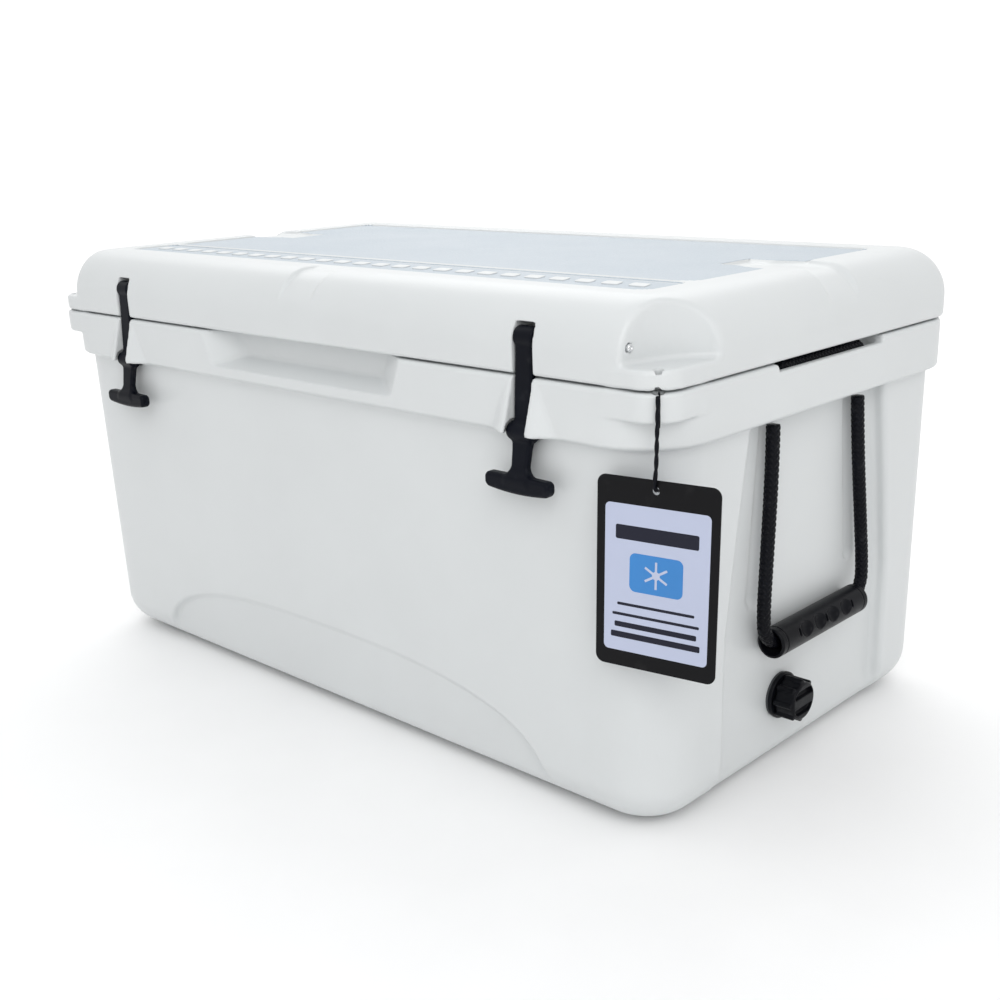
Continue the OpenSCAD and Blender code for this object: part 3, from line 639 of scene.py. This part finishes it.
def grip(x, y, z):
    """A handle grip, with x and z from its own axis, its finger dents on the outward side."""
    grip_r, half = 13.4, 71.8
    r = np.hypot(x, z)
    ay = np.abs(y)
    d = both(r - grip_r, ay - half, 2)
    for at in (11, 33):
        dent = np.sqrt((x - 19) ** 2 + (ay - at) ** 2 + (z - 8) ** 2) - 11.4
        d = smooth_cut(d, dent, 0.8)
    for at in (0, 44):
        slot = both(rounded(ay - at, z - 5, 1.2, 3.2, 1.1), 10 - x, 0.5)
        d = smooth_cut(d, slot, 0.6)
    seam = both(np.abs(x - 2) - 0.5, z + 12.9, 0.2)
    d = smooth_cut(d, seam, 0.4)
    groove = both(np.abs(ay - 64) - 0.6, 12.9 - r, 0.3)
    d = smooth_cut(d, groove, 0.6)
    bore = r - 6.5 - np.clip(ay - 57, 0, 15) / 15 * 4.5
    return smooth_cut(d, bore, 0.8)


def grip_mirrored(x, y, z):
    return grip(-x, y, z)


def drain_cap(x, y, z):
    """The drain cap, with y and z from its axis."""
    knob_r, rib_count, bore_r, bore_end = 17.3, 8, 14.25, 415.8
    r = np.hypot(y, z)
    angle = np.arctan2(z, y)
    knob = both(r - knob_r, np.abs(x - 414.6) - 10, 2.2)
    turn = 2 * math.pi / rib_count
    local = (angle + turn / 2) % turn - turn / 2
    rib = both(np.hypot(r * np.cos(local) - 17.4, r * np.sin(local)) - 2.7, np.abs(x - 413.6) - 9, 1.2)
    d = smooth_union(knob, rib, 1.5)
    for k in (-1, 1):
        side = both(both(4.6 - k * z, k * z - 11.6, 1), 420.4 - x, 1)
        d = smooth_cut(d, both(side, r - 15.2, 1.5), 1)
    return smooth_cut(d, both(r - bore_r, x - bore_end, 0.5), 0.4)


def drain_fitting(x, y, z):
    """The threaded spout and its flange, with y and z from its axis."""
    thread_r, thread_depth, thread_pitch, flange_r, bore_r = 13.55, 0.4, 3, 21.4, 10
    r = np.hypot(y, z)
    angle = np.arctan2(z, y)
    thread = thread_r + thread_depth * np.cos(2 * math.pi * x / thread_pitch - angle)
    d = both(r - thread, np.abs(x - 382.8) - 30.8, 0.8)
    flange = both(r - flange_r, np.abs(x - 402) - 1.95, 1)
    return smooth_cut(smooth_union(d, flange, 1), r - bore_r, 0.8)


COARSE = 1
SHELL_STEP = 2.4 * COARSE
SMALL_STEP = 0.6 * COARSE
tub_piece = mesh_of("moulded_tub", tub, (-424, -252, -1), (424, 258, 386), SHELL_STEP)
lid_piece = mesh_of("moulded_lid", lid, (-424, -240, 357), (424, 258, 440), SHELL_STEP)


def mesh_at(name, field, at, low, high, step):
    """A mesh of a field that is given about its own middle."""
    moved = tuple(np.float32(v) for v in at)

    def placed(x, y, z):
        return field(x - moved[0], y - moved[1], z - moved[2])

    return mesh_of(name, placed, np.add(low, at), np.add(high, at), step)


pieces = {}
for word, side in SIDES:
    pieces[f"latch_{word}"] = mesh_at(f"rubber_latch_{word}", latch, (side * LATCH_X, 0, 0),
                                      (-38, -250, 274), (38, -211, 414), SMALL_STEP)
    pieces[f"grip_{word}"] = mesh_at(f"moulded_grip_{word}", grip if side > 0 else grip_mirrored,
                                     (side * GRIP_X, 0, GRIP_Z), (-15, -74, -15), (15, 74, 15), SMALL_STEP)
for word, side in SIDES:
    low, high = sorted((side * 261, side * 385))
    pieces[f"latch_pin_{word}"] = mesh_of(f"steel_pin_{word}", latch_pin, (low, PIN_Y - 4, PIN_Z - 4),
                                          (high, PIN_Y + 4, PIN_Z + 4), SMALL_STEP / 2)
pieces["drain_cap"] = mesh_at("ribbed_drain_cap", drain_cap, (0, DRAIN_Y, DRAIN_Z),
                              (402, -22, -22), (427, 22, 22), SMALL_STEP)
pieces["drain_fitting"] = mesh_at("threaded_drain_fitting", drain_fitting, (0, DRAIN_Y, DRAIN_Z),
                                  (350, -23, -23), (416, 23, 23), SMALL_STEP)

# --- ribs on the lid's front band ---------------------------------------------------------------


RIB_STEPS, RIB_PITCH = 24, 27.5        # from the first rib to the last, and the millimetres in each
RIB_LEAN, RIB_HALF_X, RIB_HALF_Y, RIB_HALF_Z = 0.35, 8.5, 8, 0.8


def lid_ribs(x, y, z):
    """Short raised bars in a row along the front band."""
    k = np.clip(np.round(x / RIB_PITCH), -RIB_STEPS / 2, RIB_STEPS / 2)
    local = x - k * RIB_PITCH + RIB_LEAN * (y - BAND_Y)
    d = rounded(local, y - BAND_Y, RIB_HALF_X, RIB_HALF_Y, 3)
    return both(d, np.abs(z - PANEL_FLOOR) - RIB_HALF_Z, 0.35)


rib_piece = mesh_of("lid_band_ribs", lid_ribs, (-352, -158, 433.4), (352, -134, 436.4), SMALL_STEP)

# --- the swing tag -------------------------------------------------------------------------------

TAG_W, TAG_H, TAG_T = 100.0, 148.0, 0.9
TAG_ROUND, TAG_HOLE_R, TAG_HOLE_DROP = 7.0, 3.0, 8.0
TAG_HOLE = Vector((412.7, -232.6, 303)) * MM
TAG_MID_X = 1.5      # the card's middle, from its hole
TAG_YAW, TAG_PITCH = math.radians(10), math.radians(-2.5)
PRINT_RISE = 0.05    # each printed layer's thickness, in millimetres
PRINT_ROOT = 0.02    # how far the print reaches into the card
# The printed shapes: height from the card's middle, half width, half height, corner radius, layer, ink
PRINTED = [(-4, 43, 57.5, 4, 1, "paper"), (32, 34, 5.5, 1.5, 2, "ink"), (2, 22, 15, 5, 2, "blue")]
PRINTED_BARS = [(32, 1.1), (36, 1.1), (34, 2.1), (37, 2.4)]    # half width and half height of each
BARS_DROP, BARS_PITCH = 24, 8.2
FLAKE_RISE, FLAKE_REACH, FLAKE_HALF_WIDTH = 2, 10.5, 0.9


def outline(cx, cz, half_x, half_z, r, steps=8):
    """The corner points of a rounded rectangle."""
    corners = []
    for k, (sx, sz) in enumerate([(1, 1), (-1, 1), (-1, -1), (1, -1)]):
        for i in range(steps + 1):
            a = math.pi / 2 * (k + i / steps)
            corner_x, corner_z = cx + sx * (half_x - r), cz + sz * (half_z - r)
            corners.append((corner_x + r * math.cos(a), corner_z + r * math.sin(a)))
    return corners


def slab(points, y0, y1):
    """Corners and faces of a flat shape between two depths, both ends closed."""
    n = len(points)
    verts = [(x, y0, z) for x, z in points] + [(x, y1, z) for x, z in points]
    sides = [(i, (i + 1) % n, n + (i + 1) % n, n + i) for i in range(n)]
    return verts, sides + [tuple(range(n))[::-1], tuple(range(n, 2 * n))]


def snowflake(cx, cz, reach, width):
    """Six plain arms as an outline."""
    start = 0.3 * reach
    points = []
    for k in range(6):
        a = math.radians(60 * k + 30)
        ux, uz = math.cos(a), math.sin(a)
        for along, out in ((start, width), (reach, width), (reach, -width), (start, -width)):
            points.append((cx + along * ux + out * uz, cz + along * uz - out * ux))
    return points


def tag_shape():
    """The tag's parts in its own plane: (points, layer, ink)."""
    mid = TAG_HOLE_DROP - TAG_H / 2
    parts = []
    for rise, half_x, half_z, corner, layer, ink in PRINTED:
        parts.append((outline(TAG_MID_X, mid + rise, half_x, half_z, corner), layer, ink))
    parts.append((snowflake(TAG_MID_X, mid + FLAKE_RISE, FLAKE_REACH, FLAKE_HALF_WIDTH), 3, "paper"))
    for row, (half, thick) in enumerate(PRINTED_BARS):
        parts.append((outline(TAG_MID_X, mid - BARS_DROP - BARS_PITCH * row, half, thick, 1), 2, "ink"))
    return parts


def by_angle(points):
    """The points in order round the tag's hole."""
    return sorted(points, key=lambda p: math.atan2(p[1], p[0]))


def make_tag():
    """The card with its hole, its print, and the ink of each printed face."""
    card = bpy.data.meshes.new("swing_tag_card")
    rim = outline(TAG_MID_X, TAG_HOLE_DROP - TAG_H / 2, TAG_W / 2, TAG_H / 2, TAG_ROUND)
    n = len(rim)
    hole_turn = 0.6
    angles = [2 * math.pi * i / n + hole_turn for i in range(n)]
    hole = [(TAG_HOLE_R * math.cos(a), TAG_HOLE_R * math.sin(a)) for a in angles]
    rim = by_angle(rim)
    hole = by_angle(hole)
    verts = []
    for y in (-TAG_T / 2, TAG_T / 2):
        verts += [(x, y, z) for x, z in rim]
        verts += [(x, y, z) for x, z in hole]
    faces = []
    for i in range(n):
        j = (i + 1) % n
        faces.append((i, j, n + j, n + i))
        faces.append((2 * n + j, 2 * n + i, 3 * n + i, 3 * n + j))
        faces.append((j, i, 2 * n + i, 2 * n + j))
        faces.append((n + i, n + j, 3 * n + j, 3 * n + i))
    card.from_pydata([Vector(v) * MM for v in verts], [], faces)
    card_obj = bpy.data.objects.new("swing_tag_card", card)
    printed = bpy.data.meshes.new("swing_tag_print")
    verts, faces, inks = [], [], []
    for points, layer, ink in tag_shape():
        for face in (-1, 1):
            back = TAG_T / 2 - PRINT_ROOT
            front = TAG_T / 2 + PRINT_RISE * layer
            more, loops = slab(points, face * back, face * front)
            if face > 0:
                loops = [f[::-1] for f in loops]
            base = len(verts)
            verts += more
            faces += [tuple(base + i for i in f) for f in loops]
            inks += [ink] * len(loops)
    printed.from_pydata([Vector(v) * MM for v in verts], [], faces)
    print_obj = bpy.data.objects.new("swing_tag_print", printed)
    turn = Matrix.Rotation(TAG_YAW, 4, "Z") @ Matrix.Rotation(TAG_PITCH, 4, "X")
    for obj in (card_obj, print_obj):
        scene.collection.objects.link(obj)
        obj.matrix_world = Matrix.Translation(TAG_HOLE) @ turn
    return card_obj, print_obj, inks


tag_card, tag_print, tag_inks = make_tag()

# --- materials ------------------------------------------------------------------------------------


BROAD_SCALE, SCUFF_SCALE = 9.0, 60.0    # patches of a tenth of a metre, and scuffs of a few centimetres
BUMP_DISTANCE = 0.0002


def finish(name, color, roughness, grain=0.15, grain_size=900.0, shade=0.06, wear=0.0, metal=0.0,
           mirror=0.5):
    """A surface with uneven colour and gloss, fine grain, and worn high spots where wear is above 0."""
    mat = bpy.data.materials.new(name)
    mat.use_nodes = True
    nodes, links = mat.node_tree.nodes, mat.node_tree.links
    shader = nodes["Principled BSDF"]
    place = nodes.new("ShaderNodeTexCoord")

    def noise(scale, detail):
        node = nodes.new("ShaderNodeTexNoise")
        node.inputs["Scale"].default_value = scale
        node.inputs["Detail"].default_value = detail
        links.new(place.outputs["Object"], node.inputs["Vector"])
        return node

    def spread(source, low, high):
        node = nodes.new("ShaderNodeMapRange")
        node.inputs["From Min"].default_value = 0.3
        node.inputs["From Max"].default_value = 0.7
        node.inputs["To Min"].default_value = low
        node.inputs["To Max"].default_value = high
        links.new(source, node.inputs["Value"])
        return node.outputs["Result"]

    broad = noise(BROAD_SCALE, 4.0)
    fine = noise(grain_size, 3.0)
    blend = nodes.new("ShaderNodeMix")
    blend.data_type = "RGBA"
    blend.inputs["A"].default_value = (*[c * (1 - shade) for c in color], 1)
    blend.inputs["B"].default_value = (*[min(1, c * (1 + shade * 0.5)) for c in color], 1)
    links.new(spread(broad.outputs["Fac"], 0.0, 1.0), blend.inputs["Factor"])
    shown = blend.outputs["Result"]
    if wear:
        scuffs = noise(SCUFF_SCALE, 8.0)
        worn = nodes.new("ShaderNodeMix")
        worn.data_type = "RGBA"
        links.new(shown, worn.inputs["A"])
        worn.inputs["B"].default_value = (*[0.7 * c + 0.12 for c in color], 1)
        mask = nodes.new("ShaderNodeMapRange")
        mask.inputs["From Min"].default_value = 0.6
        mask.inputs["From Max"].default_value = 0.75
        mask.inputs["To Max"].default_value = wear
        links.new(scuffs.outputs["Fac"], mask.inputs["Value"])
        links.new(mask.outputs["Result"], worn.inputs["Factor"])
        shown = worn.outputs["Result"]
    links.new(shown, shader.inputs["Base Color"])
    links.new(spread(broad.outputs["Fac"], roughness * 0.88, roughness * 1.12), shader.inputs["Roughness"])
    bump = nodes.new("ShaderNodeBump")
    bump.inputs["Strength"].default_value = grain
    bump.inputs["Distance"].default_value = BUMP_DISTANCE
    links.new(fine.outputs["Fac"], bump.inputs["Height"])
    links.new(bump.outputs["Normal"], shader.inputs["Normal"])
    shader.inputs["Metallic"].default_value = metal
    shader.inputs["Specular IOR Level"].default_value = mirror
    return mat


white = finish("satin_white", (0.63, 0.65, 0.655), 0.36, grain=0.25, grain_size=420,
               shade=0.02, wear=0.03)
foam = finish("cream_foam", (0.9, 0.84, 0.66), 0.8)
rubber = finish("black_rubber", (0.004, 0.005, 0.009), 0.40, mirror=0.085, grain=0.3, grain_size=1500,
                shade=0.25, wear=0.1)
grey_rubber = finish("grey_rubber", (0.05, 0.055, 0.06), 0.6, grain=0.3, shade=0.15)
steel = finish("steel", (0.75, 0.76, 0.77), 0.25, grain=0.1, grain_size=2500, metal=1.0, wear=0.1)
rope_fibre = finish("rope_fibre", (0.003, 0.0035, 0.006), 0.36, mirror=0.11, grain=0.6, grain_size=2600,
                    shade=0.4, wear=0.12)
plastic = finish("black_plastic", (0.0045, 0.005, 0.007), 0.33, mirror=0.11, grain=0.3, grain_size=1800,
                 shade=0.2, wear=0.08)
card = finish("black_card", (0.006, 0.006, 0.007), 0.4, mirror=0.12, grain=0.1, shade=0.15, wear=0.04)
paper = finish("tag_paper", (0.45, 0.49, 0.63), 0.5, grain=0.08, shade=0.03, wear=0.02)
ink = finish("tag_ink", (0.012, 0.013, 0.025), 0.45, mirror=0.2, grain=0.1, shade=0.15, wear=0.05)
blue = finish("tag_blue", (0.03, 0.20, 0.52), 0.4, grain=0.1, shade=0.1, wear=0.04)


PANEL_MIDDLE_Y, PANEL_REACH_X, PANEL_REACH_Y = -0.0035, 0.3565, 0.172    # metres
PANEL_TINT, PANEL_TINT_SHARE = (0.36, 0.425, 0.485, 1), 0.9
PEBBLE_SCALE, PEBBLE_STRENGTH, PEBBLE_DISTANCE = 330, 0.55, 0.0007


def add_panel_texture(mat):
    """A finer, cooler texture on the lid's top panel, found by its place on the lid."""
    nodes, links = mat.node_tree.nodes, mat.node_tree.links
    shader = nodes["Principled BSDF"]
    place = nodes.new("ShaderNodeTexCoord")
    split = nodes.new("ShaderNodeSeparateXYZ")
    links.new(place.outputs["Object"], split.inputs["Vector"])

    def within_range(socket, centre, half):
        node = nodes.new("ShaderNodeMath")
        node.operation = "COMPARE"
        node.inputs[1].default_value = centre
        node.inputs[2].default_value = half
        links.new(socket, node.inputs[0])
        return node.outputs["Value"]

    def times(a, b):
        node = nodes.new("ShaderNodeMath")
        node.operation = "MULTIPLY"
        links.new(a, node.inputs[0])
        links.new(b, node.inputs[1])
        return node.outputs["Value"]

    in_x = within_range(split.outputs["X"], 0, PANEL_REACH_X)
    in_y = within_range(split.outputs["Y"], PANEL_MIDDLE_Y, PANEL_REACH_Y)
    on_floor = within_range(split.outputs["Z"], PANEL_FLOOR * MM, 0.0004)
    mask = times(times(in_x, in_y), on_floor)
    cells = nodes.new("ShaderNodeTexVoronoi")
    cells.inputs["Scale"].default_value = PEBBLE_SCALE
    links.new(place.outputs["Object"], cells.inputs["Vector"])
    height = times(mask, cells.outputs["Distance"])
    bump = nodes.new("ShaderNodeBump")
    bump.inputs["Strength"].default_value = PEBBLE_STRENGTH
    bump.inputs["Distance"].default_value = PEBBLE_DISTANCE
    links.new(height, bump.inputs["Height"])
    before = shader.inputs["Normal"].links[0].from_socket
    links.new(before, bump.inputs["Normal"])
    links.new(bump.outputs["Normal"], shader.inputs["Normal"])
    tint = nodes.new("ShaderNodeMix")
    tint.data_type = "RGBA"
    tint.inputs["B"].default_value = PANEL_TINT
    scale = nodes.new("ShaderNodeMath")
    scale.operation = "MULTIPLY"
    scale.inputs[1].default_value = PANEL_TINT_SHARE
    links.new(mask, scale.inputs[0])
    links.new(scale.outputs["Value"], tint.inputs["Factor"])
    links.new(shader.inputs["Base Color"].links[0].from_socket, tint.inputs["A"])
    links.new(tint.outputs["Result"], shader.inputs["Base Color"])


lid_white = white.copy()
lid_white.name = "satin_white_lid"
add_panel_texture(lid_white)

SLOT_MATERIAL = {
    "white_shell": white, "foam": foam, "black_rubber": rubber, "grey_rubber": grey_rubber, "steel": steel,
    "rope": rope_fibre, "black_plastic": plastic, "card": card,
}


def dress(obj, mat):
    """Give a piece its material."""
    obj.data.materials.clear()
    obj.data.materials.append(mat)


# --- which piece stands for which CAD node, and what it rides on ----------------------------------


def stand_for(obj, body, slot, *nodes, mat=None):
    """Dress a piece, put it on its body, and let it stand for CAD nodes."""
    dress(obj, mat or SLOT_MATERIAL[slot])
    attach(obj, body)
    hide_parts(*nodes)


slots_of = {row["node"]: row["material_slot"] for row in frame["record"]["subparts"]}
for node, obj in frame["nodes"].items():
    obj.data.materials.clear()
    obj.data.materials.append(SLOT_MATERIAL[slots_of[node]])

stand_for(tub_piece, "tub", "white_shell", "tub_outer", "tub_liner", "tub_rim", "tub_foam")
stand_for(lid_piece, "lid", "white_shell", "lid_shell", "lid_foam", mat=lid_white)
dress(rib_piece, white)
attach(rib_piece, "lid")
for word, side in SIDES:
    stand_for(pieces[f"latch_{word}"], f"latch_{word}_body", "black_rubber", f"latch_{word}")
    stand_for(pieces[f"grip_{word}"], f"handle_{word}", "black_plastic", f"grip_{word}")
    stand_for(cords[f"rope_{word}"][0], f"handle_{word}", "rope", f"rope_{word}")
    stand_for(cords[f"rope_bridge_{word}"][0], "tub", "rope", f"rope_bridge_{word}")
for word, side in SIDES:
    stand_for(pieces[f"latch_pin_{word}"], "lid", "steel", f"latch_pin_{word}")
stand_for(pieces["drain_cap"], "drain_cap_body", "black_plastic", "drain_cap")
stand_for(pieces["drain_fitting"], "tub", "black_plastic", "drain_fitting")
stand_for(cords["tag_string"][0], "tag", "rope", "tag_string")
stand_for(cords["tag_loop"][0], "tub", "rope", "tag_loop")
stand_for(tag_card, "tag", "card", "hang_tag")
TAG_INKS = {"paper": paper, "ink": ink, "blue": blue}
for mat in TAG_INKS.values():
    tag_print.data.materials.append(mat)
for face, word in zip(tag_print.data.polygons, tag_inks):
    face.material_index = list(TAG_INKS).index(word)
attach(tag_print, "tag")

for word, side in SIDES:
    rope, path = cords[f"rope_{word}"]
    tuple(path[0])
    path_length(path)
string, path = cords["tag_string"]
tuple(path[0])
path_length(path)

# --- floor and light --------------------------------------------------------------------------------


FLOOR_HALF, FLOOR_Z = 3.2, -0.0005
BACK_WALL = (-0.68, 0.73, 0)          # the way to the studio's bright wall, behind the chest
WALL_FROM, WALL_TO = 0.1, 0.75        # the share of a direction that points there, at the glow's two ends
ROOM_GLOW, BACK_GLOW = 0.80, 1.08


def make_stage():
    """A pale floor in an evenly lit white room that is brighter behind the chest."""
    mesh = bpy.data.meshes.new("floor")
    half = FLOOR_HALF
    corners = [(-half, -half, FLOOR_Z), (half, -half, FLOOR_Z), (half, half, FLOOR_Z), (-half, half, FLOOR_Z)]
    mesh.from_pydata(corners, [], [(0, 1, 2, 3)])
    floor = bpy.data.objects.new("floor", mesh)
    scene.collection.objects.link(floor)
    mesh.materials.append(finish("pale_floor", (0.93, 0.93, 0.93), 0.7, grain=0.05, shade=0.01))
    floor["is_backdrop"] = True
    world = bpy.data.worlds.new("studio")
    scene.world = world
    world.use_nodes = True
    nodes, links = world.node_tree.nodes, world.node_tree.links
    background = nodes["Background"]
    background.inputs["Color"].default_value = (1.0, 1.0, 1.0, 1)
    place = nodes.new("ShaderNodeTexCoord")
    towards_back = nodes.new("ShaderNodeVectorMath")
    towards_back.operation = "DOT_PRODUCT"
    towards_back.inputs[1].default_value = BACK_WALL
    links.new(place.outputs["Generated"], towards_back.inputs[0])
    glow = nodes.new("ShaderNodeMapRange")
    glow.inputs["From Min"].default_value = WALL_FROM
    glow.inputs["From Max"].default_value = WALL_TO
    glow.inputs["To Min"].default_value = ROOM_GLOW
    glow.inputs["To Max"].default_value = BACK_GLOW
    links.new(towards_back.outputs["Value"], glow.inputs["Value"])
    links.new(glow.outputs["Result"], background.inputs["Strength"])


def area_light(name, at, aim, size, power, color=(1, 1, 1)):
    """A rectangular softbox at a place, aimed at another."""
    data = bpy.data.lights.new(name, "AREA")
    data.shape = "RECTANGLE"
    data.size, data.size_y = size
    data.energy = power
    data.color = color
    light = bpy.data.objects.new(name, data)
    scene.collection.objects.link(light)
    light.location = at
    light.rotation_mode = "QUATERNION"
    light.rotation_quaternion = (Vector(aim) - Vector(at)).to_track_quat("-Z", "Y")


make_stage()
area_light("key_softbox", (1.75, -1.55, 1.8), (0, 0, 0.25), (1.8, 1.6), 22)
area_light("top_softbox", (-0.2, -0.9, 2.4), (0, 0, 0.4), (2.4, 1.6), 5, (0.9, 0.96, 1))
# The floor's softbox is aimed a hair off straight down, which settles which way its sides lie.
area_light("floor_softbox", (-1.8, 1.9, 2.0), (-1.8, 1.9001, 0), (3.0, 3.0), 34)
scene.view_settings.view_transform = "Standard"

low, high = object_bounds()
{"cad": [list(box_low), list(box_high)], "visual": [list(low), list(high)]}
